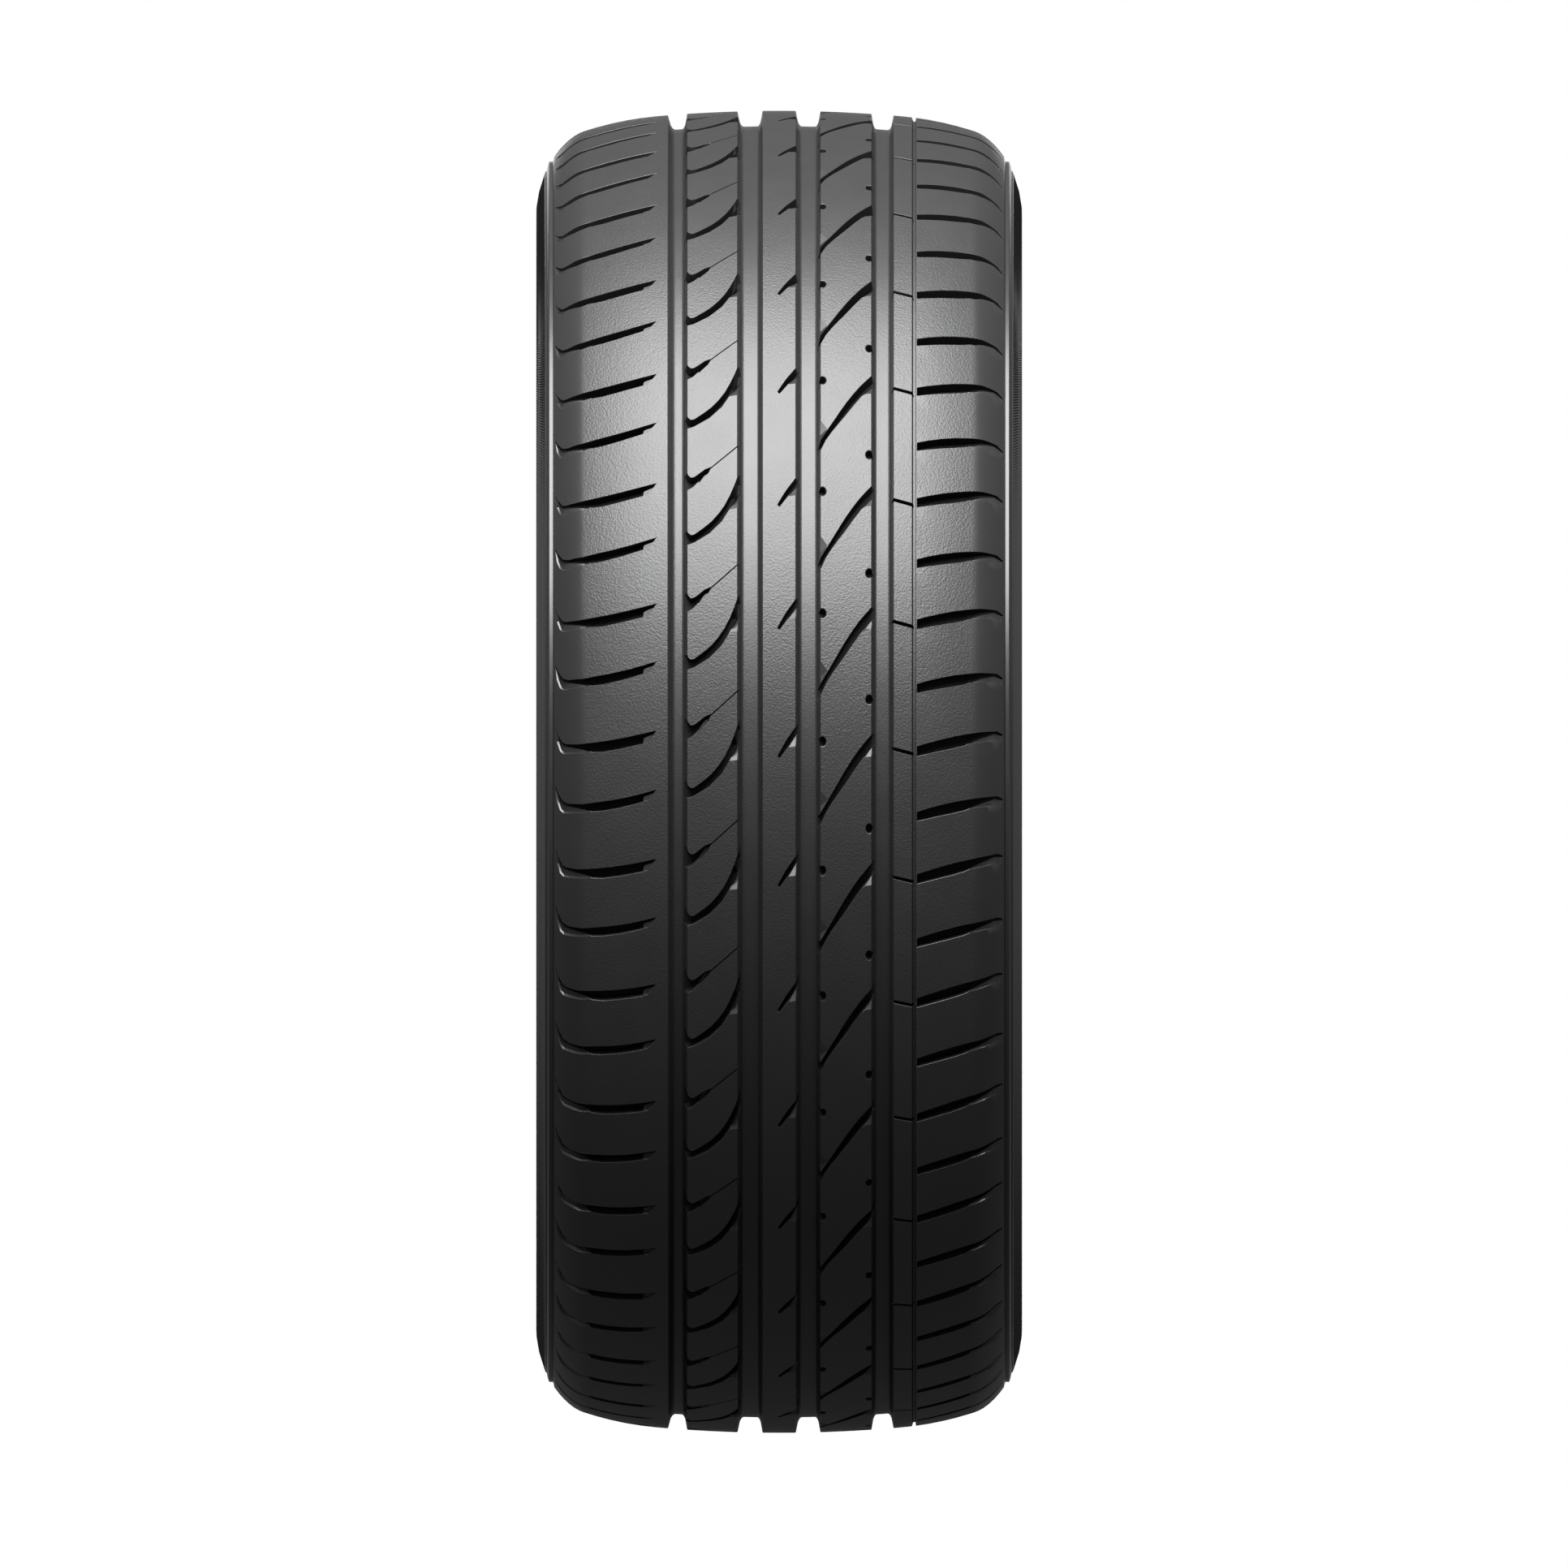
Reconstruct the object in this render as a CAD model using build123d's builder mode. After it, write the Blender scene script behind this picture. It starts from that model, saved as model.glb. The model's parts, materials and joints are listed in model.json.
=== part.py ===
from build123d import *
import os
from math import atan2, copysign, cos, radians, sin

# A 235/45 R17 car tyre, off its rim, in millimetres.
# The axle is the Y axis and the origin is the middle of the tyre.
outer_radius = 322.0
section_width = 236.8
rim_seat_radius = 218.3
rim_width = 203.2

# Contour across the tread: a wide crown, then a rounder shoulder, then a tight edge.
# The shoulder and the edge each add their own fall to the crown's.
tread_width = 219.0
crown_radius = 675.0
shoulder_zone = 49.5
shoulder_radius = 190.0
edge_zone = 15.0
edge_radius = 16.5
shoulder_bend_inset = 29.5
edge_bend_inset = 11.5

# The pattern goes round in equal pitches of two flats each.
pitch_count = 32
flats_per_pitch = 2

# Grooves that go all the way round: middle, from left to right, and width at the top.
groove_depth = 7.4
groove_draft = 1.9
grooves = [
    (-49.5, 9.8),
    (-14.2, 12.6),
    (14.1, 12.4),
    (50.3, 11.1),
]

# Casing: walls, the ledge under the tread edge, and the beads that sit on the rim.
crown_thickness = 15.5
bond_depth = 1.5
sidewall_thickness = 9.0
lining_inset = 41.5
ledge_drop = 24.8
ledge_width = 2.0
flange_height = 20.0
flange_lean = 3.8
heel_bevel = 4.5
bead_width = 18.0
mouth_overrun = 10.0

# Slots of one pitch: width, depth, and how far a shoulder slot's floor comes out of the edge.
shoulder_slot_width = 5.4
shoulder_slot_depth = 5.0
edge_rise = 0.6
edge_overrun = 3.0
rib_slot_width = 3.9
rib_slot_depth = 5.5

# Values worked out from those above
half_tread = tread_width / 2
half_section = section_width / 2
half_rim = rim_width / 2
shoulder_start = half_tread - shoulder_zone
edge_start = half_tread - edge_zone
shoulder_bend = half_tread - shoulder_bend_inset
edge_bend = half_tread - edge_bend_inset
slot_reach = half_tread + edge_overrun
lining_radius = outer_radius - crown_thickness
casing_radius = lining_radius + 2 * bond_depth
ledge_radius = outer_radius - ledge_drop
ledge_offset = half_tread + ledge_width
flange_radius = rim_seat_radius + flange_height
flange_offset = half_rim + flange_lean
widest_radius = (rim_seat_radius + outer_radius) / 2
toe_offset = half_rim - bead_width
tread_flats = pitch_count * flats_per_pitch
chamber_flats = pitch_count

# Middle lines of the slots, as points of (offset from the middle, distance round the tread)
shoulder_slots = [
    [(-61.7, -17.3), (-slot_reach, -11.4)],
    [(-61.7, 11.8), (-slot_reach, 19.0)],
    [(64.0, -9.4), (slot_reach, -18.8)],
    [(64.0, 22.7), (slot_reach, 14.7)],
]
rib_slots = [
    [(-47.0, 10.6), (-32.0, 2.4), (-18.0, -23.0)],
    [(47.5, -18.0), (32.6, 2.0), (17.5, 27.8)],
]


def tread_radius(offset):
    # Radius of the tread at an offset from the middle
    reach = abs(offset)
    fall = reach**2 / (2 * crown_radius)
    fall += max(reach - shoulder_start, 0) ** 2 / (2 * shoulder_radius)
    fall += max(reach - edge_start, 0) ** 2 / (2 * edge_radius)
    return outer_radius - fall


def wall_offset(radius):
    # Offset of the sidewall at a radius, curving from its widest place to the ledge or the flange
    end_radius = ledge_radius if radius > widest_radius else flange_radius
    end_offset = ledge_offset if radius > widest_radius else flange_offset
    way = (radius - widest_radius) / (end_radius - widest_radius)
    return half_section - (half_section - end_offset) * way**2


def both_sides(half_outline):
    # The right half of a section, then its mirror image back to the start
    return half_outline + [(radius, -offset) for radius, offset in reversed(half_outline)]


def tread_outline():
    # Section of the tread as (radius, offset), grooves included, down to where it joins the casing
    bends = [half_tread, edge_bend, shoulder_bend]
    outline = [(tread_radius(bend), -bend) for bend in bends]
    for middle, width in grooves:
        left = middle - width / 2
        right = middle + width / 2
        floor_radius = tread_radius(middle) - groove_depth
        outline.append((tread_radius(left), left))
        outline.append((floor_radius, left + groove_draft))
        outline.append((floor_radius, right - groove_draft))
        outline.append((tread_radius(right), right))
    outline += [(tread_radius(bend), bend) for bend in reversed(bends)]
    half_joint = [(ledge_radius - bond_depth, half_tread), (casing_radius - bond_depth, shoulder_bend)]
    return outline + both_sides(half_joint)


def casing_outline():
    # Section of the casing, still filled inside: ledge, sidewall, flange face, heel and bead seat
    upper_radius = (ledge_radius + widest_radius) / 2
    lower_radius = (widest_radius + flange_radius) / 2
    half_outline = [
        (casing_radius, shoulder_bend),
        (ledge_radius, half_tread),
        (ledge_radius, ledge_offset),
        (upper_radius, wall_offset(upper_radius)),
        (widest_radius, half_section),
        (lower_radius, wall_offset(lower_radius)),
        (flange_radius, flange_offset),
        (rim_seat_radius + heel_bevel, half_rim),
        (rim_seat_radius, half_rim - heel_bevel),
    ]
    return both_sides(half_outline)


def chamber_outline():
    # Section of the air chamber, open inward between the two bead toes
    half_outline = [
        (lining_radius, half_tread - lining_inset),
        (widest_radius, half_section - sidewall_thickness),
        (rim_seat_radius, toe_offset),
        (rim_seat_radius - mouth_overrun, toe_offset),
    ]
    return both_sides(half_outline)


def flat_piece(outline, flat_count):
    # One flat of a section carried round the axle, mitred to meet its neighbours.
    # Its ends lie on the round, and its middle a little inside it.
    half_turn = radians(180 / flat_count)
    with BuildPart() as piece:
        with BuildSketch(Plane.XY):
            with BuildLine():
                Polyline(*[(radius * cos(half_turn), offset) for radius, offset in outline], close=True)
            make_face()
        extrude(amount=outer_radius * sin(2 * half_turn), both=True)
        for side in (1, -1):
            mitre = Plane((0, 0, 0), x_dir=(0, 1, 0), z_dir=(-sin(half_turn), 0, side * cos(half_turn)))
            split(bisect_by=mitre, keep=Keep.BOTTOM)
    return piece.part


def turns(count, lead=0.0):
    # Equal turns about the axle, all of them ahead by a part of one
    return [Location((0, 0, 0), (0, (turn + lead) * 360 / count, 0)) for turn in range(count)]


def slot_shape(points, width, floor):
    # A slot of even width along its middle line, from its floor out through the tread.
    # The floor is flat and passes through two points of (offset, radius).
    (left, left_radius), (right, right_radius) = sorted(floor)
    lean = atan2(right_radius - left_radius, right - left)
    middle = sum(place for offset, place in points) / len(points)
    axle = Vector(0, 1, 0)
    outward = Vector(cos(middle / outer_radius), 0, -sin(middle / outer_radius))
    along = axle * cos(lean) + outward * sin(lean)
    normal = outward * cos(lean) - axle * sin(lean)
    with BuildPart() as slot:
        with BuildSketch(Plane(axle * left + outward * left_radius, x_dir=along, z_dir=normal)):
            with BuildLine():
                Polyline(*[((offset - left) / cos(lean), middle - place) for offset, place in points])
            trace(line_width=width)
        extrude(amount=crown_thickness)
    return slot.part


def shoulder_floor(points):
    # Deepest near the inner end, and out of the tread just short of its edge
    start = points[0][0]
    edge = copysign(half_tread, start)
    return [(start, tread_radius(start) - shoulder_slot_depth), (edge, tread_radius(edge) + edge_rise)]


def rib_floor(points):
    # Level from groove to groove
    level = tread_radius(points[1][0]) - rib_slot_depth
    return [(points[0][0], level), (points[-1][0], level)]


# The slots of one pitch
with BuildPart() as pitch_slots:
    for points in shoulder_slots:
        add(slot_shape(points, shoulder_slot_width, shoulder_floor(points)))
    for points in rib_slots:
        add(slot_shape(points, rib_slot_width, rib_floor(points)))

# The whole tyre, moulded as one piece: casing, tread, air chamber and then the slots
with BuildPart() as tyre:
    with BuildSketch(Plane.XY):
        with BuildLine():
            Polyline(*casing_outline(), close=True)
        make_face()
    revolve(axis=Axis.Y)
    with Locations(turns(tread_flats, lead=0.5)):
        add(flat_piece(tread_outline(), tread_flats))
    with Locations(turns(chamber_flats, lead=0.5)):
        add(flat_piece(chamber_outline(), chamber_flats), mode=Mode.SUBTRACT)
    with Locations(turns(pitch_count)):
        add(pitch_slots.part, mode=Mode.SUBTRACT)

tyre.part.label = "tyre"
os.makedirs("parts", exist_ok=True)
export_step(tyre.part, "parts/tyre.step")
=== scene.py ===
import json
import math

import bmesh
import bpy
import numpy as np
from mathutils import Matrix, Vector
from mathutils.geometry import delaunay_2d_cdt


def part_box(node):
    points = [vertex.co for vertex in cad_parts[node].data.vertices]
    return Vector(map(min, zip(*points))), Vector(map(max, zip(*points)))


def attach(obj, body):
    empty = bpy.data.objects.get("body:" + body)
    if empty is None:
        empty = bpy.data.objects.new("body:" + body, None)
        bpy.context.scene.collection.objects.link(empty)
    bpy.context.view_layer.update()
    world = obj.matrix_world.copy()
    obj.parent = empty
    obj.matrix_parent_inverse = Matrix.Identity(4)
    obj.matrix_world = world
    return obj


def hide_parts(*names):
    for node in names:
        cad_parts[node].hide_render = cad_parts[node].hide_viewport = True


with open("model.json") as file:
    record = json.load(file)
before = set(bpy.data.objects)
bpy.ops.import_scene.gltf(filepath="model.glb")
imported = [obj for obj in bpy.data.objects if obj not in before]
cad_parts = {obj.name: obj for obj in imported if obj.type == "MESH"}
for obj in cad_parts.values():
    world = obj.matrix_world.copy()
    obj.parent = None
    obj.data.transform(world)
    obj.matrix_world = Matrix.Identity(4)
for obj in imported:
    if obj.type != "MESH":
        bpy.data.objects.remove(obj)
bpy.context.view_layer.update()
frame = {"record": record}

mm = 0.001
tiny = 1e-4                   # mm or radians, less counts as none
touch = 1e-3                  # mm, nearer than this lies on the line
lowCorner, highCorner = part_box("tyre")
outerRadius = (highCorner[2] - lowCorner[2]) / 2 / mm
halfSection = (highCorner[1] - lowCorner[1]) / 2 / mm
print("frame loaded: tyre", round(2 * outerRadius), "mm across,", round(2 * halfSection, 1), "mm wide")

# Finishes of the rubber, in the order of the tyre's materials; the slot one is painted dark as shade, the
# corner one painted paler as a highlight
topFinish, wallFinish, grooveFinish, slotPaintedShade, cornerPolishAndHighlight = range(5)

# Places on the tread are (across, round): mm along the axle from the middle, mm along the crown.
tread = {
    "halfWidth": 109.5,
    "crownRadius": 675.0,
    "shoulderStart": 60.0, "shoulderRadius": 190.0,
    "edgeStart": 95.3, "edgeRadius": 14.8,
    "pitches": 32,
    "steps": 6,               # mesh steps round one pitch
    "overlap": 3,             # steps drawn past each end of the pitch, cut off again
    "guard": 5.0,             # mm drawn past the tread's edge, cut off again
    "curveStep": 6.0,         # about how long the pieces of a curved slot edge are
    "ribStep": 7.0,           # between mesh points on top of the ribs
    "ribClear": 1.5,          # and how near they come to a slot
    "edgeLines": (95.3, 97.2, 99.8, 102.5, 105.0, 107.2),   # extra lines where the shoulder turns over
    "openDepth": 1.8,         # a slot's edge that lies deeper than this in a round groove is its open end
    "flat": 0.02,             # a face no deeper than this is still the tread's top
}
pitchLength = 2 * math.pi * outerRadius / tread["pitches"]
stepLength = pitchLength / tread["steps"]

# From a groove's top edge to its floor: share of the wall's width, share of the depth
grooveWall = ((0.0, 0.0), (0.1, 0.05), (0.42, 0.7), (0.62, 0.88), (0.82, 0.97), (1.0, 1.0))
narrowWall = ((0.0, 0.0), (0.2, 0.1), (1.0, 1.0))
# Round grooves: the two edges at the top, the two edges of the floor, and the depth.
grooves = [
    {"top": (-54.4, -44.6), "floor": (-50.4, -47.3), "depth": 7.3, "wall": grooveWall},
    {"top": (-20.5, -7.9), "floor": (-17.2, -10.6), "depth": 7.5, "wall": grooveWall},
    {"top": (7.9, 20.3), "floor": (11.0, 17.5), "depth": 7.5, "wall": grooveWall},
    {"top": (44.8, 55.9), "floor": (47.4, 53.0), "depth": 7.3, "wall": grooveWall},
    {"top": (64.6, 66.7), "floor": (65.3, 66.4), "depth": 1.9, "wall": narrowWall},
]

# Slots of one pitch. Each has an upper and a lower edge, and runs into a groove where it opens.
# wall is how far the wall leans in. fade is where a slot gets shallower towards the tread's edge:
# places across, and the share of the depth that is left there.
slotBevel = 0.15
shoulderSlot = {"depth": 6.2, "wall": 0.35, "fade": ((90.0, 104.0), (1.0, 0.25))}
slots = [
    # left shoulder
    {**shoulderSlot,
     "upper": ((-109.1, -24.3), (-105.4, -15.0), (-103.3, -14.2), (-88.3, -14.9), (-72.5, -17.5),
               (-59.4, -20.5)),
     "lower": ((-109.0, -21.6), (-106.5, -14.6), (-104.4, -12.9), (-95.7, -11.0), (-91.0, -9.7),
               (-86.0, -9.7), (-77.8, -11.1), (-66.1, -13.7)),
     "tip": ((-65.8, -16.5), (-61.4, -18.3))},
    {**shoulderSlot,
     "upper": ((-109.1, 6.2), (-105.4, 14.9), (-102.8, 16.2), (-88.3, 15.1), (-72.5, 12.2), (-59.4, 8.6)),
     "lower": ((-109.0, 8.9), (-106.5, 15.6), (-104.4, 17.4), (-95.7, 19.2), (-91.0, 20.1), (-86.0, 19.7),
               (-77.8, 18.1), (-66.1, 14.9)),
     "tip": ((-65.8, 12.4), (-61.4, 10.8))},
    # right shoulder
    {**shoulderSlot,
     "upper": ((67.0, -12.6), (72.7, -14.3), (85.6, -17.7), (98.5, -20.1), (106.2, -21.0), (109.2, -19.4)),
     "lower": ((67.0, -7.5), (79.1, -10.3), (90.0, -12.9), (98.5, -16.6), (104.5, -18.9), (108.8, -18.4))},
    {**shoulderSlot,
     "upper": ((67.0, 19.8), (72.7, 18.0), (85.6, 14.9), (98.5, 13.0), (106.2, 12.4), (109.2, 14.2)),
     "lower": ((67.0, 24.5), (79.1, 21.9), (90.0, 19.6), (98.5, 16.4), (104.5, 14.5), (108.8, 15.2))},
    # left rib: curved slot and notch
    {"depth": 6.0, "wall": 0.5,
     "upper": ((-48.5, 2.5), (-45.0, 5.0), (-44.2, 6.9), (-43.0, 8.0), (-41.6, 7.8), (-40.2, 6.8),
               (-33.0, 1.0), (-26.6, -7.5), (-21.9, -18.1), (-17.8, -30.5)),
     "lower": ((-48.5, 14.4), (-41.4, 12.0), (-33.9, 7.3), (-27.9, 1.1), (-24.0, -5.5), (-19.5, -14.6),
               (-17.0, -20.0))},
    {"depth": 6.0, "wall": 0.5,
     "upper": ((-48.5, -28.5), (-45.0, -26.0), (-44.2, -24.0), (-43.0, -22.8), (-41.6, -22.9),
               (-40.2, -23.9), (-36.1, -27.2), (-32.5, -28.6)),
     "lower": ((-48.5, -13.5), (-44.8, -15.8), (-41.9, -17.5), (-39.2, -20.4), (-36.6, -24.6),
               (-32.5, -28.1))},
    # middle rib: notch
    {"depth": 6.0, "wall": 0.4,
     "upper": ((-1.0, -7.5), (3.4, -15.4), (8.1, -22.2), (11.5, -27.2)),
     "lower": ((0.2, -6.3), (5.0, -12.9), (8.8, -18.3), (11.5, -22.2))},
    # right rib: curved slot
    {"depth": 6.0, "wall": 0.6,
     "upper": ((48.5, -22.6), (45.0, -18.4), (39.1, -11.3), (32.6, -1.6), (26.8, 8.5), (19.5, 21.1),
               (16.5, 26.4)),
     "lower": ((48.5, -15.6), (44.9, -11.3), (40.3, -5.8), (32.6, 5.6), (22.9, 20.0), (19.8, 27.1),
               (17.8, 31.7))},
    # narrow rib
    {"depth": 4.0, "wall": 0.4,
     "upper": ((52.5, -13.0), (65.6, -9.7)),
     "lower": ((52.5, -11.1), (65.6, -7.6))},
]
# Shallow shelves beside the slots. The side of a shelf that lies in the slot doesn't show.
leftHook = {"depth": 2.6, "wall": 0.85, "finish": topFinish,
            "fade": ((93.0, 104.5, 108.0, 109.2), (1.0, 0.42, 0.42, 0.1))}
rightHook = {"depth": 1.2, "wall": 0.35, "finish": topFinish, "fade": ((93.0, 107.0), (1.0, 0.1))}
# inner tips take the corner rubber, painted paler as a highlight
innerTip = {"depth": 1.3, "wall": 0.4, "finish": cornerPolishAndHighlight}
shelves = [
    # hooked outer ends on the left shoulder
    {**leftHook,
     "outline": ((-109.0, -22.6), (-106.0, -14.9), (-103.9, -13.6), (-90.0, -12.2), (-88.4, -10.8),
                 (-96.0, -9.2), (-104.9, -9.0), (-106.7, -10.6), (-108.2, -15.5))},
    {**leftHook,
     "outline": ((-109.0, 7.9), (-106.0, 15.3), (-103.9, 16.8), (-90.0, 17.6), (-88.4, 19.0), (-96.0, 20.8),
                 (-104.9, 21.4), (-106.7, 19.9), (-108.3, 15.2))},
    # hooked outer ends on the right shoulder
    {**rightHook,
     "outline": ((109.0, -18.9), (104.5, -20.0), (92.0, -15.4), (89.0, -14.0), (95.0, -14.1),
                 (100.4, -15.2), (106.2, -15.5), (108.2, -14.5))},
    {**rightHook,
     "outline": ((109.0, 14.7), (104.5, 13.4), (92.0, 17.2), (89.0, 18.6), (95.0, 18.4), (100.4, 17.7),
                 (106.2, 17.8), (108.2, 18.8))},
    # inner tips on the left shoulder
    {**innerTip,
     "outline": ((-66.8, -15.5), (-66.4, -14.0), (-64.0, -14.2), (-59.9, -19.8), (-65.0, -18.4))},
    {**innerTip,
     "outline": ((-66.8, 13.3), (-66.4, 14.7), (-64.0, 14.4), (-59.9, 9.3), (-65.0, 10.8))},
    # step in the left rib's notch
    {"depth": 3.0, "wall": 0.5, "finish": grooveFinish,
     "outline": ((-40.0, -22.0), (-39.0, -19.8), (-34.4, -25.0), (-33.2, -27.6), (-36.4, -25.8))},
]
# Thin cut on from the left rib's notch, its walls nearly meeting at the bottom
sipe = {"line": ((-33.6, -27.4), (-18.6, -41.0)), "width": 0.65, "depth": 2.8, "wallShare": 0.45}
# Oval dimples at the edges of the right rib
dimple = {"centres": ((21.1, -14.8), (43.9, 27.8)), "half": (2.2, 2.8), "sides": 14,
          "lip": 0.35, "wall": 0.4, "depth": 5.0}
# Block corners that slope down to a tip: the line they hinge on, the tip and its drop
slopes = [
    {"hinge": ((-24.4, -5.1), (-19.4, -6.0)), "tip": (-19.0, -15.4), "drop": 5.0},
    {"hinge": ((42.2, -7.2), (45.6, -7.6)), "tip": (45.6, -13.2), "drop": 3.0},
    {"hinge": ((23.4, 13.6), (19.6, 8.0)), "tip": (18.6, 18.0), "drop": 2.0},
    {"hinge": ((4.6, -12.0), (8.6, -12.6)), "tip": (9.2, -19.5), "drop": 3.8},
]


def contourRadius(across):
    # crown, shoulder and edge each add their own fall
    reach = np.abs(across)
    fall = reach**2 / (2 * tread["crownRadius"])
    fall = fall + np.maximum(reach - tread["shoulderStart"], 0) ** 2 / (2 * tread["shoulderRadius"])
    return outerRadius - fall - np.maximum(reach - tread["edgeStart"], 0) ** 2 / (2 * tread["edgeRadius"])


def grooveSection():
    # (across, depth) of every line of the round grooves, from left to right
    section = []
    for groove in grooves:
        (leftTop, rightTop), (leftFloor, rightFloor) = groove["top"], groove["floor"]
        for run, drop in groove["wall"]:
            section.append((leftTop + run * (leftFloor - leftTop), drop * groove["depth"]))
        for run, drop in reversed(groove["wall"]):
            section.append((rightTop + run * (rightFloor - rightTop), drop * groove["depth"]))
    return section


grooveLines, grooveDepths = zip(*grooveSection())


def grooveDepth(across):
    return np.interp(across, grooveLines, grooveDepths)


def smoothCurve(points, spacing):
    # a smooth line through a few points, in pieces of about the given length
    points = [Vector(point) for point in points]
    chords = [(end - start).normalized() for start, end in zip(points, points[1:])]
    curve = []
    for index, (start, end) in enumerate(zip(points, points[1:])):
        reach = (end - start).length / 3
        leave = (chords[max(index - 1, 0)] + chords[index]).normalized()
        arrive = (chords[index] + chords[min(index + 1, len(chords) - 1)]).normalized()
        firstHandle, lastHandle = start + leave * reach, end - arrive * reach
        pieces = max(1, round((end - start).length / spacing))
        for piece in range(pieces):
            t = piece / pieces
            s = 1 - t
            fromStart = start * s**3 + firstHandle * (3 * s * s * t)
            curve.append(fromStart + lastHandle * (3 * s * t * t) + end * t**3)
    return curve + [points[-1]]


def turned(outline):
    # counter-clockwise, as (round, across)
    flat = [Vector((point[1], point[0])) for point in outline]
    area = sum(a.x * b.y - b.x * a.y for a, b in zip(flat, flat[1:] + flat[:1]))
    return flat if area > 0 else flat[::-1]


def moved(outline, distance):
    return [Vector((point.x + distance, point.y)) for point in outline]


def isOpen(start, end):
    # an edge that lies down in a round groove is a slot's open end
    return min(grooveDepth(start.y), grooveDepth(end.y)) > tread["openDepth"]


def insetOutline(outline, inset):
    # every edge moves in by the inset, open ends stay, and edges that vanish are dropped
    edges = []
    for start, end in zip(outline, outline[1:] + outline[:1]):
        along = (end - start).normalized()
        move = 0.0 if isOpen(start, end) else inset
        edges.append((start + Vector((-along.y, along.x)) * move, along))
    while len(edges) > 2:
        corners = []
        for (lastPoint, lastAlong), (point, along) in zip(edges[-1:] + edges[:-1], edges):
            cross = lastAlong.x * along.y - lastAlong.y * along.x
            gap = point - lastPoint
            far = (gap.x * along.y - gap.y * along.x) / cross if abs(cross) > tiny else lastAlong.dot(gap)
            corners.append(lastPoint + lastAlong * far)
        ends = corners[1:] + corners[:1]
        kept = [edge for edge, a, b in zip(edges, corners, ends) if (b - a).dot(edge[1]) > tiny]
        if len(kept) == len(edges):
            return corners
        edges = kept
    return []


def edgeDistance(places, outline):
    # which places are inside an outline, and how far each one is from its walls
    outline = np.array([tuple(point) for point in outline])
    inside = np.zeros(len(places), bool)
    nearest = np.full(len(places), np.inf)
    for start, end in zip(outline, np.roll(outline, -1, axis=0)):
        crosses = (start[1] > places[:, 1]) != (end[1] > places[:, 1])
        rise = end[1] - start[1] if end[1] != start[1] else tiny
        meet = start[0] + (places[:, 1] - start[1]) * (end[0] - start[0]) / rise
        inside ^= crosses & (places[:, 0] < meet)
        if isOpen(Vector(start), Vector(end)):
            continue
        along = end - start
        share = np.clip(((places - start) @ along) / (along @ along), 0, 1)
        nearest = np.minimum(nearest, np.hypot(*(places - start - share[:, None] * along).T))
    return inside, nearest


def insideDepth(places, feature):
    # depth of one slot at many places: its wall profile over the distance from its edge
    inside, nearest = edgeDistance(places, feature["outline"])
    runs, drops = zip(*feature["profile"])
    depth = np.where(inside | (nearest < touch), np.interp(nearest, runs, drops), 0.0)
    if feature["fade"]:
        depth = depth * np.interp(np.abs(places[:, 1]), *feature["fade"])
    return depth


def slopeDepth(places, slope):
    # depth of a sloped block corner: none at its hinge, most at its tip
    outline = slope["outline"]
    inside = np.ones(len(places), bool)
    for start, end in zip(outline, outline[1:] + outline[:1]):
        along = end - start
        inside &= along.x * (places[:, 1] - start.y) - along.y * (places[:, 0] - start.x) > -touch
    hinge, hingeEnd, tip = (Vector(point).yx for point in slope["hinge"] + (slope["tip"],))
    downhill = (hingeEnd - hinge).orthogonal().normalized()
    reach = downhill.dot(tip - hinge)
    far = ((places[:, 0] - hinge.x) * downhill.x + (places[:, 1] - hinge.y) * downhill.y) / reach
    return np.where(inside, np.clip(far, 0, 1) * slope["drop"], 0.0)


def treadFeatures():
    # every slot, shelf, thin cut and dimple of one pitch; profile is (run, drop) down its wall
    features = []

    def addFeature(outline, profile, finish, fade=None):
        features.append({"outline": turned(outline), "profile": [(0.0, 0.0)] + profile,
                         "finish": finish, "fade": fade})

    # slots, the thin cut and the dimples take the slot rubber, painted dark as shade
    for slot in slots:
        upper = smoothCurve(slot["upper"], tread["curveStep"])
        lower = smoothCurve(slot["lower"], tread["curveStep"]) + list(slot.get("tip", ()))
        profile = [(slotBevel, slotBevel), (slot["wall"], slot["depth"])]
        addFeature(upper + lower[::-1], profile, slotPaintedShade, slot.get("fade"))
    for shelf in shelves:
        addFeature(shelf["outline"], [(shelf["wall"], shelf["depth"])], shelf["finish"], shelf.get("fade"))
    start, end = (Vector(point) for point in sipe["line"])
    side = (end - start).orthogonal().normalized() * sipe["width"] / 2
    profile = [(sipe["wallShare"] * sipe["width"], sipe["depth"])]
    addFeature([start + side, end + side, end - side, start - side], profile, slotPaintedShade)
    halfAcross, halfRound = dimple["half"]
    turns = [2 * math.pi * turn / dimple["sides"] for turn in range(dimple["sides"])]
    profile = [(dimple["lip"], slotBevel), (dimple["lip"] + dimple["wall"], dimple["depth"])]
    for across, place in dimple["centres"]:
        oval = [(across + halfAcross * math.cos(turn), place + halfRound * math.sin(turn))
                for turn in turns]
        addFeature(oval, profile, slotPaintedShade)
    return features


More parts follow.
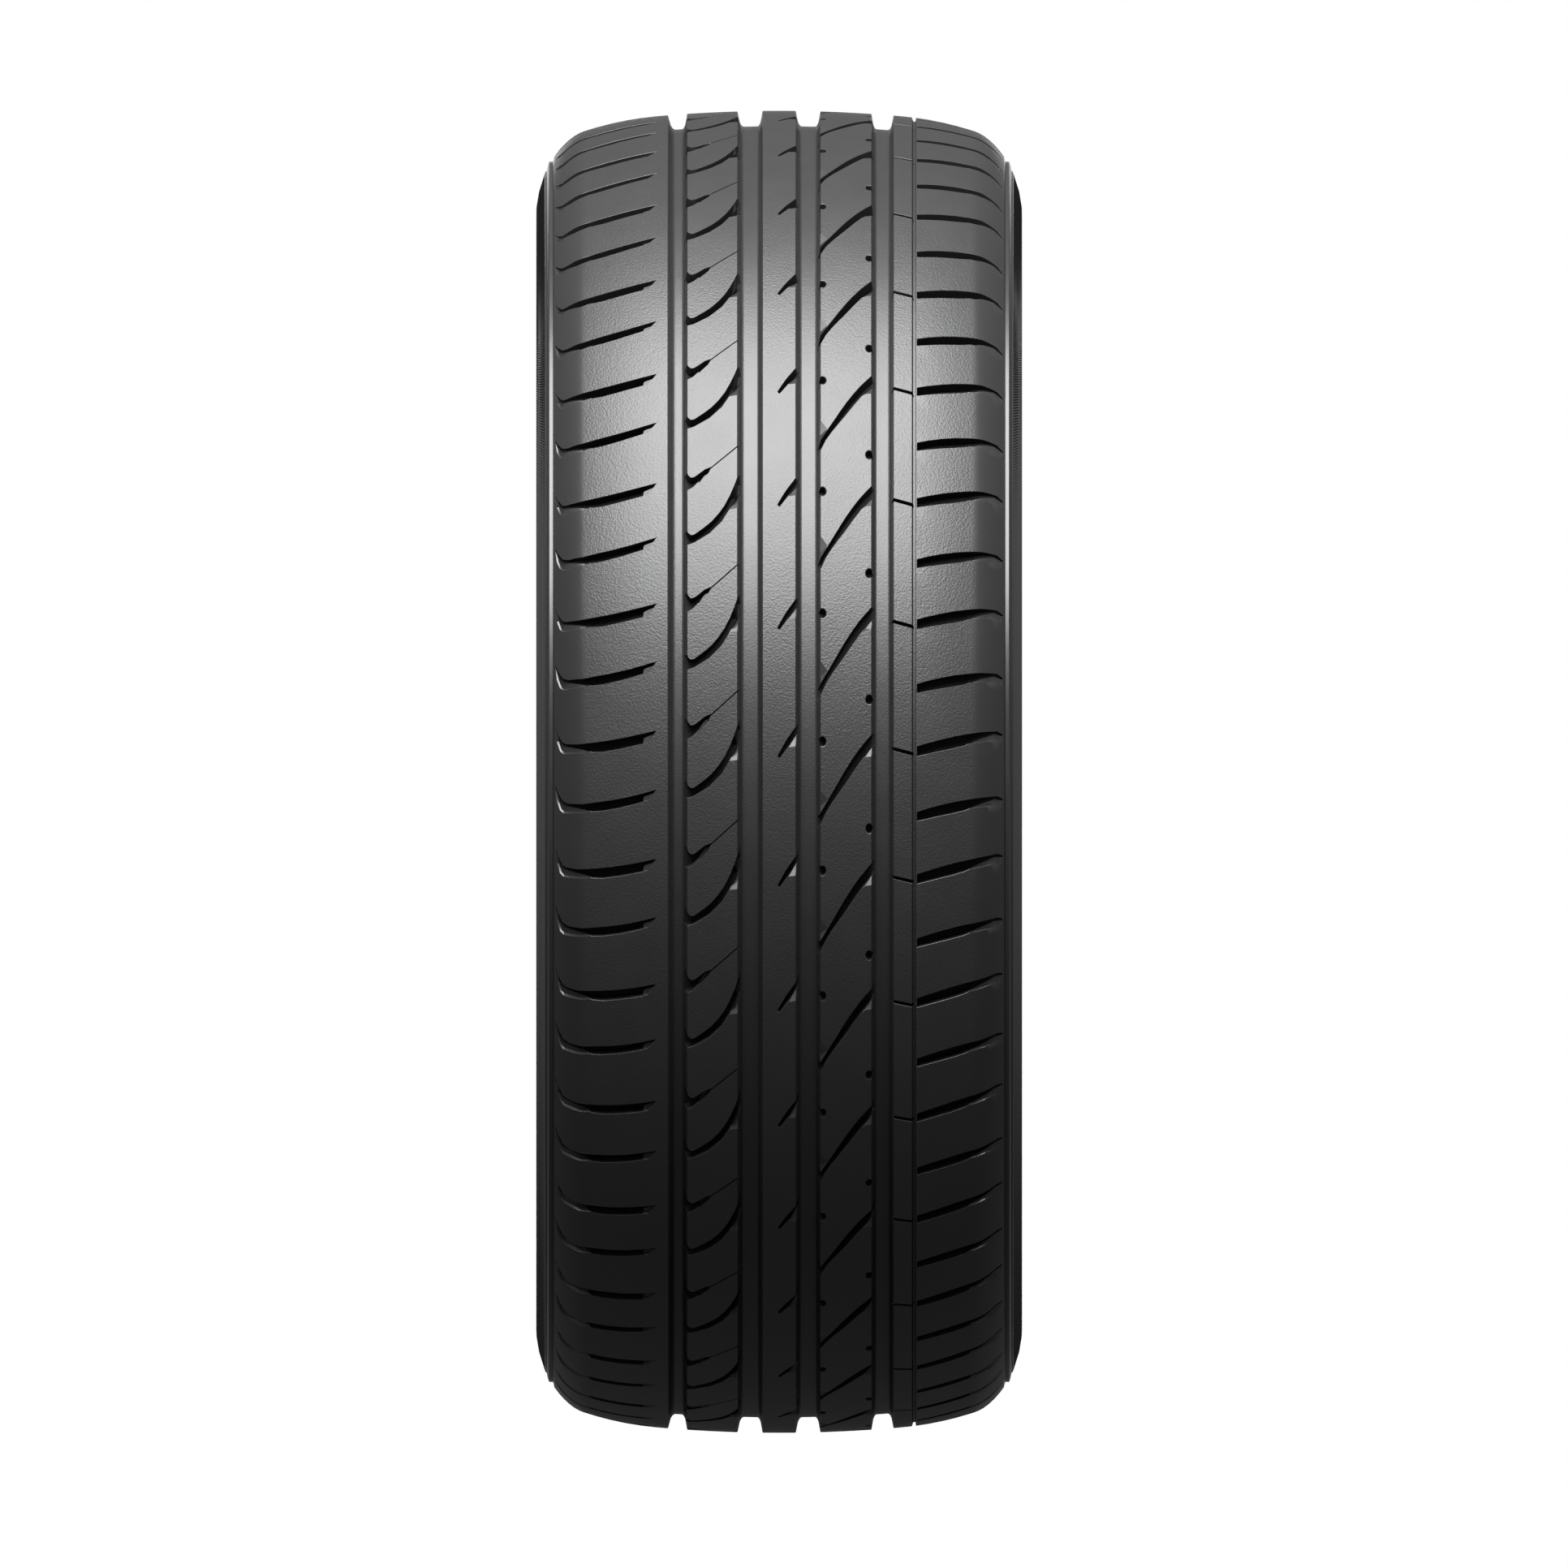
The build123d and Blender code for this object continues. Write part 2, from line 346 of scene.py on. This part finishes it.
def treadTile():
    # one pitch of tread as flat triangles: places (round, across), depths, faces and their finishes
    features = treadFeatures()
    copies = []               # with those of the pitches next to it, which reach in
    for shift in (-pitchLength, 0.0, pitchLength):
        for feature in features:
            copies.append({**feature, "outline": moved(feature["outline"], shift)})
    sloped = [{**slope, "outline": turned(slope["hinge"] + (slope["tip"],))} for slope in slopes]
    # sloped block corners take the corner rubber, painted paler as a highlight
    finishOf = np.array([grooveFinish, cornerPolishAndHighlight] + [feature["finish"] for feature in copies])

    def depthsAt(places):
        # of the grooves, the sloped corners and each of the slots
        slopeDepths = np.max([slopeDepth(places, slope) for slope in sloped], axis=0)
        cutDepths = [insideDepth(places, feature) for feature in copies]
        return np.array([grooveDepth(places[:, 1]), slopeDepths] + cutDepths)

    points, edges = [], []

    def addLine(line, closed):
        first = len(points)
        points.extend(Vector(point) for point in line)
        edges.extend((first + i, first + i + 1) for i in range(len(line) - 1))
        if closed:
            edges.append((first + len(line) - 1, first))

    half = pitchLength / 2
    steps = range(-tread["overlap"], tread["steps"] + tread["overlap"] + 1)
    rounds = [-half + step * stepLength for step in steps]
    edgeLines = [side * line for line in tread["edgeLines"] + (tread["halfWidth"],) for side in (-1, 1)]
    guards = [side * (tread["halfWidth"] + tread["guard"]) for side in (-1, 1)]
    for across in list(grooveLines) + edgeLines + guards:
        addLine([(place, across) for place in rounds], False)
    ribLines = np.arange(-tread["edgeLines"][0], tread["edgeLines"][0], tread["ribStep"])
    ribLines = [line for line in ribLines if grooveDepth(line) == 0]
    acrossLines = sorted(list(grooveLines) + edgeLines + ribLines)
    for side in (-half, half):
        addLine([(side, across) for across in acrossLines], False)
    for feature in copies:
        addLine(feature["outline"], True)
        for run, _ in feature["profile"][1:]:
            inner = insetOutline(feature["outline"], run)
            if inner:
                addLine(inner, True)
    for slope in sloped:
        addLine(slope["outline"], True)
    # points on top of the ribs keep the tread round, and stay clear of the slots' edges
    tops = np.array([(place, across) for across in ribLines for place in rounds[1:-1]])
    clear = depthsAt(tops).max(axis=0) == 0
    for feature in copies + sloped:
        clear &= edgeDistance(tops, feature["outline"])[1] > tread["ribClear"]
    points.extend(Vector(place) for place in tops[clear])

    places, _, faces, _, _, _ = delaunay_2d_cdt(points, edges, [], 0, tiny)
    places = np.array([tuple(place) for place in places])
    middles = np.array([places[list(face)].mean(axis=0) for face in faces])
    kept = (np.abs(middles) < (half, tread["halfWidth"])).all(axis=1)
    inTile = [face for face, isKept in zip(faces, kept) if isKept]
    used = sorted({corner for face in inTile for corner in face})
    renumber = {corner: index for index, corner in enumerate(used)}
    faces = [[renumber[corner] for corner in face] for face in inTile]
    places = places[used]
    depths = depthsAt(places).max(axis=0)
    # a face has the finish of what is deepest in its middle, of a slot's bevelled lip or of the tread top
    deepest = depthsAt(np.array([places[face].mean(axis=0) for face in faces])).argmax(axis=0)
    lowest = np.array([depths[face].max() for face in faces])
    # bevelled slot lips take the corner rubber, painted paler as a highlight
    finishes = np.where(lowest < slotBevel + tread["flat"], cornerPolishAndHighlight, finishOf[deepest])
    return places, depths, faces, np.where(lowest < tread["flat"], topFinish, finishes).tolist()


tilePlaces, tileDepths, tileFaces, tileFinishes = treadTile()
print("tread tile:", len(tilePlaces), "points,", len(tileFaces), "triangles")

# Casing section, (across, radius) in mm: ledge under the tread edge, ribbed band, sidewall, bead and lining
casing = {
    "ledge": ((109.9, 297.9), (110.2, 297.2), (111.9, 297.2), (112.3, 296.6), (112.8, 294.8),
              (113.2, 292.7), (113.9, 292.3)),
    "wallTop": (111.5, 297.2),      # where the sidewall's curve would end under the ledge
    # rows of the ribbed band: radius, share of the ribs' slant, share of their depth
    "band": ((291.6, 1.0, 0.0), (290.8, 0.9, 1.0), (282.5, 0.0, 1.0), (275.2, -0.9, 1.0),
             (274.4, -1.0, 0.0)),
    "ribs": 34,                     # in one pitch
    "ribDepth": 0.7,
    "ribSlant": 8.0,                # how far each end of a rib leans round from its middle
    "widestRadius": 270.15,
    "wallRings": (273.6, 273.0, 272.4, 268.0, 263.0, 258.0, 253.6, 253.0, 252.4, 248.0, 244.6, 244.0,
                  243.4),
    "cutRings": (273.0, 253.0, 244.0),   # fine moulded lines round the sidewall
    "ringDepth": 0.4,
    "flange": (105.4, 238.3),
    "bead": ((103.9, 231.0), (102.2, 225.4), (101.3, 222.4), (99.6, 219.6), (97.1, 218.3)),
    "lining": ((83.6, 218.3), (84.8, 221.6), (98.0, 243.5), (107.4, 267.0), (105.6, 285.0), (93.0, 298.6),
               (70.0, 305.0), (0.0, 306.2)),
    "liningStep": 9.0,
}
seatRadius = frame["record"]["mounts"][0]["dims"]["r_mm"]


def wallAcross(radius):
    # the sidewall curves from its widest place to the ledge above and the flange below
    endAcross, endRadius = casing["wallTop"] if radius > casing["widestRadius"] else casing["flange"]
    way = (radius - casing["widestRadius"]) / (endRadius - casing["widestRadius"])
    return halfSection - (halfSection - endAcross) * way**2


def sideRows():
    # right half of the section from the tread edge to the middle of the lining:
    # across, radius, mesh columns in a pitch, rib depth and lean of the row
    rows = []

    def addRow(across, radius, columns=tread["steps"], ribDepth=0.0, lean=0.0):
        rows.append((across, radius, columns, ribDepth, lean))

    addRow(tread["halfWidth"], float(contourRadius(tread["halfWidth"])))
    for across, radius in casing["ledge"]:
        addRow(across, radius)
    for radius, slant, cut in casing["band"]:
        addRow(wallAcross(radius), radius, 2 * casing["ribs"], cut * casing["ribDepth"],
               slant * casing["ribSlant"])
    for radius in casing["wallRings"]:
        cut = casing["ringDepth"] if radius in casing["cutRings"] else 0.0
        addRow(wallAcross(radius) - cut, radius)
    for across, radius in (casing["flange"],) + casing["bead"]:
        addRow(across, radius)
    for place in smoothCurve(casing["lining"], casing["liningStep"]):
        addRow(place.x, max(place.y, seatRadius), tread["steps"] // 2)
    return rows


def stitched(rings):
    # triangles from each ring of points to the next, which may have more points or fewer
    faces = []
    for (first, count), (nextFirst, nextCount) in zip(rings, rings[1:]):
        here = there = 0
        while here < count or there < nextCount:
            a, b = first + here % count, nextFirst + there % nextCount
            if (here + 1) / count <= (there + 1) / nextCount:
                here += 1
                faces.append([a, first + here % count, b])
            else:
                there += 1
                faces.append([a, nextFirst + there % nextCount, b])
    return faces


meshing = {
    "weld": 0.005,                  # mm, points nearer than this are one
    "sliver": 0.002,                # mm, shorter edges go
    "sharp": 33.0,                  # degrees, a greater bend shows as an edge
    "grooveSharp": 8.0,             # in a groove, so that its strips stay even all the way round
}


def tyreMesh():
    # the tile goes round the crown, and rings of points carry on over the sidewalls to the lining
    points, faces, finishes = [], [], []

    def addPoint(radius, across, angle):
        points.append((radius * math.cos(angle) * mm, across * mm, -radius * math.sin(angle) * mm))

    tileRadii = contourRadius(tilePlaces[:, 1]) - tileDepths
    for pitch in range(tread["pitches"]):
        first = len(points)
        for (place, across), radius in zip(tilePlaces, tileRadii):
            addPoint(radius, across, (place + pitch * pitchLength) / outerRadius)
        faces += [[first + corner for corner in face] for face in tileFaces]
        finishes += tileFinishes

    half = sideRows()
    rows = half + [(-across, *rest) for across, *rest in reversed(half[:-1])]
    rings = []
    for across, radius, columns, ribDepth, lean in rows:
        count = columns * tread["pitches"]
        rings.append((len(points), count))
        for column in range(count):
            angle = 2 * math.pi * column / count - pitchLength / 2 / outerRadius + lean / radius
            cut = ribDepth if column % 2 else 0.0
            addPoint(radius, across - math.copysign(cut, across), angle)
    sideFaces = stitched(rings)
    faces += sideFaces
    finishes += [wallFinish] * len(sideFaces)

    mesh = bpy.data.meshes.new("tyre_rubber")
    mesh.from_pydata(points, [], faces)
    mesh.polygons.foreach_set("material_index", finishes)
    shape = bmesh.new()
    shape.from_mesh(mesh)
    bmesh.ops.remove_doubles(shape, verts=shape.verts, dist=meshing["weld"] * mm)
    bmesh.ops.dissolve_degenerate(shape, edges=shape.edges, dist=meshing["sliver"] * mm)
    bmesh.ops.recalc_face_normals(shape, faces=shape.faces)
    loose = [edge for edge in shape.edges if len(edge.link_faces) != 2]
    print("tyre mesh:", len(shape.faces), "faces, open edges:", len(loose))
    for face in shape.faces:
        face.smooth = True
    for edge in shape.edges:
        left, right = edge.link_faces
        sameFinish = left.material_index == right.material_index
        bend = meshing["grooveSharp"] if left.material_index == grooveFinish else meshing["sharp"]
        edge.smooth = sameFinish and edge.calc_face_angle() < math.radians(bend)
    shape.to_mesh(mesh)
    shape.free()
    return mesh


def addObject(name, data):
    added = bpy.data.objects.new(name, data)
    bpy.context.scene.collection.objects.link(added)
    return added


tyre = addObject("tyre_visual", tyreMesh())


def linear(hexColour):
    # sRGB hex to linear
    parts = [int(hexColour[i:i + 2], 16) / 255 for i in (1, 3, 5)]
    return [c / 12.92 if c <= 0.04045 else ((c + 0.055) / 1.055) ** 2.4 for c in parts] + [1.0]


def emptyTree(owner):
    # node tree of a material or world, with nothing in it
    owner.use_nodes = True
    owner.node_tree.nodes.clear()
    return owner.node_tree


def addNode(tree, kind, values=None, links=None, **settings):
    # one node with its settings, socket values and links from other nodes' sockets
    node = tree.nodes.new(kind)
    for name, value in settings.items():
        setattr(node, name, value)
    for socket, value in (values or {}).items():
        node.inputs[socket].default_value = value
    for socket, source in (links or {}).items():
        tree.links.new(source, node.inputs[socket])
    return node


# Carbon-black tyre rubber, vulcanised in a steel mould. Each part of the mould leaves its own finish: grain
# is the share of the spark-eroded grain, colour what the rubber looks like in even light, except the slot
# colour, painted darker as shade, and the corner colour, painted paler as a highlight.
rubber = {
    "ior": 1.52,
    "grain": 1.0,                   # mm, sand-like, drawn coarser than the mould's own so that it shows
    "grainHeight": 0.16,            # mm
    "cloud": 18.0,                  # mm, faint patches of bloom
    "cloudShare": 1.25,             # how much paler they are
    "cloudRough": 0.03,             # and how much rougher
    "finishes": [
        # matt and sandy, with a wide grey sheen; at the shoulder's edge the grain runs out
        {"name": "tread rubber, spark-grained mould",
         "grain": 1.0, "colour": "#2a2a2b", "roughness": 0.43, "specular": 1.0,
         "smoothEnd": {"across": (94.6, 98.6), "speckle": 2.0, "roughness": 0.34, "grain": 0.05}},
        # smooth, with a tighter sheen that shows the ribs and rings
        {"name": "sidewall rubber, polished mould",
         "grain": 0.05, "colour": "#29292a", "roughness": 0.34, "specular": 1.0},
        # half smooth, so the walls and floors shade evenly
        {"name": "groove rubber, milled mould",
         "grain": 0.5, "colour": "#29292a", "roughness": 0.42, "specular": 1.0},
        # painted shade: dull and nearly black, darker than the rubber itself, so the slots look deep
        {"name": "slot rubber, painted dark as shade",
         "grain": 0.1, "colour": "#1d1d1e", "roughness": 0.7, "specular": 0.2},
        # smooth, and painted a little paler as a highlight: lips and facets that catch the light
        {"name": "corner rubber, smooth, painted paler as highlight",
         "grain": 0.1, "colour": "#333334", "roughness": 0.4, "specular": 0.7},
    ],
}


def rubberMaterial(finish):
    # black, half matt, with a soft grey sheen where the grain scatters the light
    material = bpy.data.materials.new(finish["name"])
    tree = emptyTree(material)
    place = addNode(tree, "ShaderNodeTexCoord")
    grain = addNode(tree, "ShaderNodeTexNoise", {"Scale": 1 / (rubber["grain"] * mm), "Detail": 1.0},
                    {"Vector": place.outputs["Object"]})
    cloud = addNode(tree, "ShaderNodeTexNoise", {"Scale": 1 / (rubber["cloud"] * mm), "Detail": 3.0},
                    {"Vector": place.outputs["Object"]})
    bloom = addNode(tree, "ShaderNodeMapRange", {"To Min": 1.0, "To Max": rubber["cloudShare"]},
                    {"Value": cloud.outputs["Fac"]})
    tint = addNode(tree, "ShaderNodeVectorMath", {0: linear(finish["colour"])[:3]},
                   {"Scale": bloom.outputs["Result"]}, operation="SCALE")
    rough = addNode(tree, "ShaderNodeMapRange",
                    {"To Min": finish["roughness"] - rubber["cloudRough"],
                     "To Max": finish["roughness"] + rubber["cloudRough"]},
                    {"Value": cloud.outputs["Fac"]})
    bump = addNode(tree, "ShaderNodeBump",
                   {"Strength": finish["grain"], "Distance": rubber["grainHeight"] * mm},
                   {"Height": grain.outputs["Fac"]})
    shader = addNode(tree, "ShaderNodeBsdfPrincipled",
                     {"IOR": rubber["ior"], "Specular IOR Level": finish["specular"]},
                     {"Base Color": tint.outputs["Vector"], "Roughness": rough.outputs["Result"],
                      "Normal": bump.outputs["Normal"]})
    addNode(tree, "ShaderNodeOutputMaterial", None, {"Surface": shader.outputs["BSDF"]})
    if "smoothEnd" in finish:
        # the grain runs out in speckles of its own size and leaves the rubber smooth
        end = finish["smoothEnd"]
        span = {"From Min": end["across"][0] * mm, "From Max": end["across"][1] * mm}
        side = addNode(tree, "ShaderNodeSeparateXYZ", None, {"Vector": place.outputs["Object"]})
        reach = addNode(tree, "ShaderNodeMath", None, {0: side.outputs["Y"]}, operation="ABSOLUTE")
        across = addNode(tree, "ShaderNodeMath", {1: end["speckle"] * mm},
                         {0: grain.outputs["Fac"], 2: reach.outputs[0]}, operation="MULTIPLY_ADD")
        height = addNode(tree, "ShaderNodeMapRange",
                         {**span, "To Min": finish["grain"], "To Max": end["grain"]},
                         {"Value": across.outputs[0]})
        tree.links.new(height.outputs["Result"], bump.inputs["Strength"])
        sleek = addNode(tree, "ShaderNodeMapRange",
                        {**span, "To Max": end["roughness"] - finish["roughness"]},
                        {"Value": across.outputs[0]})
        endRough = addNode(tree, "ShaderNodeMath", None,
                           {0: rough.outputs["Result"], 1: sleek.outputs["Result"]}, operation="ADD")
        tree.links.new(endRough.outputs[0], shader.inputs["Roughness"])
    return material


for finish in rubber["finishes"]:
    tyre.data.materials.append(rubberMaterial(finish))
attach(tyre, "root")
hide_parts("tyre")
print("materials on")

# The photo is a straight view of the tread with no perspective, taken here as 1932 pixels wide.
photo = {"width": 1932, "tyreCentre": (960, 951), "tyreRadius": 814.5, "distance": 2.0}
mmPerPixel = outerRadius / photo["tyreRadius"]
camera = addObject("photo_camera", bpy.data.cameras.new("photo_camera"))
camera.data.type = "ORTHO"
camera.data.ortho_scale = photo["width"] * mmPerPixel * mm
rightOfTyre, belowTyre = ((photo["width"] / 2 - pixel) * mmPerPixel * mm for pixel in photo["tyreCentre"])
camera.location = (photo["distance"], rightOfTyre, -belowTyre)
camera.rotation_euler = (math.pi / 2, 0, math.pi / 2)
bpy.context.scene.camera = camera
print("camera set")

# Sizes and distances in metres, angles in degrees
studio = {
    "floor": "#d6d6d4", "floorSize": 6.0, "floorRoughness": 0.9,
    "floorGlow": 0.3,               # far from the softbox the floor still looks pale, to the camera only
    "softbox": {"size": (1.1, 1.5), "distance": 1.5, "elevation": 54.0, "azimuth": -1.8, "watts": 44.5},
    "rimLeft": {"size": (0.6, 0.8), "distance": 1.6, "elevation": 4.0, "azimuth": -169.0, "watts": 2.8},
    "rimRight": {"size": (0.6, 0.8), "distance": 1.6, "elevation": 4.0, "azimuth": 169.0, "watts": 2.2},
    "fill": (0.07, 0.32),           # light from all round, from below and from above, share of white
    "fillSpan": (-0.3, 0.7),        # and the heights between which it changes, 1 is straight up
    "backdrop": (-0.99, -0.999),    # where reflections meet the white wall behind the tyre
}
white = (1, 1, 1, 1)


def floorMaterial():
    # matt wall paint, rolled on: pale and even, with no shine
    material = bpy.data.materials.new("matt paint, rolled")
    tree = emptyTree(material)
    path = addNode(tree, "ShaderNodeLightPath")
    glow = addNode(tree, "ShaderNodeMath", {1: studio["floorGlow"]}, {0: path.outputs["Is Camera Ray"]},
                   operation="MULTIPLY")
    paint = addNode(tree, "ShaderNodeBsdfPrincipled",
                    {"Base Color": linear(studio["floor"]), "Roughness": studio["floorRoughness"],
                     "Emission Color": white},
                    {"Emission Strength": glow.outputs[0]})
    addNode(tree, "ShaderNodeOutputMaterial", None, {"Surface": paint.outputs["BSDF"]})
    return material


def aimedLight(name, size, distance, elevation, azimuth, watts):
    # a softbox that looks at the tyre's middle; azimuth turns from the viewer towards the right
    lamp = addObject(name, bpy.data.lights.new(name, "AREA"))
    lamp.data.shape = "RECTANGLE"
    lamp.data.size, lamp.data.size_y = size
    lamp.data.energy = watts
    lift, turn = math.radians(elevation), math.radians(azimuth)
    towards = Vector((math.cos(lift) * math.cos(turn), math.cos(lift) * math.sin(turn), math.sin(lift)))
    lamp.location = towards * distance
    lamp.rotation_euler = (-lamp.location).to_track_quat("-Z", "Y").to_euler()


def whiteStudio():
    # white to the camera, through glass and in reflections of the wall behind, and a dim fill elsewhere
    world = bpy.data.worlds.new("white studio")
    tree = emptyTree(world)
    path = addNode(tree, "ShaderNodeLightPath")
    place = addNode(tree, "ShaderNodeTexCoord")
    direction = addNode(tree, "ShaderNodeSeparateXYZ", None, {"Vector": place.outputs["Generated"]})
    fill = addNode(tree, "ShaderNodeMapRange",
                   {"From Min": studio["fillSpan"][0], "From Max": studio["fillSpan"][1],
                    "To Min": studio["fill"][0], "To Max": studio["fill"][1]},
                   {"Value": direction.outputs["Z"]})
    behind = addNode(tree, "ShaderNodeMapRange",
                     {"From Min": studio["backdrop"][0], "From Max": studio["backdrop"][1]},
                     {"Value": direction.outputs["X"]})
    mirrored = addNode(tree, "ShaderNodeMath", None,
                       {0: path.outputs["Is Glossy Ray"], 1: behind.outputs["Result"]},
                       operation="MULTIPLY")
    seen = addNode(tree, "ShaderNodeMath", None,
                   {0: path.outputs["Is Camera Ray"], 1: mirrored.outputs[0]}, operation="MAXIMUM")
    shown = addNode(tree, "ShaderNodeMath", None,
                    {0: seen.outputs[0], 1: path.outputs["Is Transmission Ray"]}, operation="MAXIMUM")
    strength = addNode(tree, "ShaderNodeMix", {"B": 1.0},
                       {"Factor": shown.outputs[0], "A": fill.outputs["Result"]})
    backdrop = addNode(tree, "ShaderNodeBackground", {"Color": white},
                       {"Strength": strength.outputs["Result"]})
    addNode(tree, "ShaderNodeOutputWorld", None, {"Surface": backdrop.outputs["Background"]})
    return world


floorMesh = bpy.data.meshes.new("floor")
floorReach, floorLevel = studio["floorSize"] / 2, -outerRadius * mm
floorCorners = ((-1, -1), (1, -1), (1, 1), (-1, 1))
floorMesh.from_pydata([(x * floorReach, y * floorReach, floorLevel) for x, y in floorCorners], [],
                      [(0, 1, 2, 3)])
floorMesh.materials.append(floorMaterial())
floor = addObject("floor", floorMesh)
floor.visible_diffuse = floor.visible_glossy = False    # its light doesn't reach the tyre's underside
for name in ("softbox", "rimLeft", "rimRight"):
    aimedLight(name, **studio[name])
bpy.context.scene.world = whiteStudio()
bpy.context.scene.view_settings.view_transform = "Standard"
print("studio set")
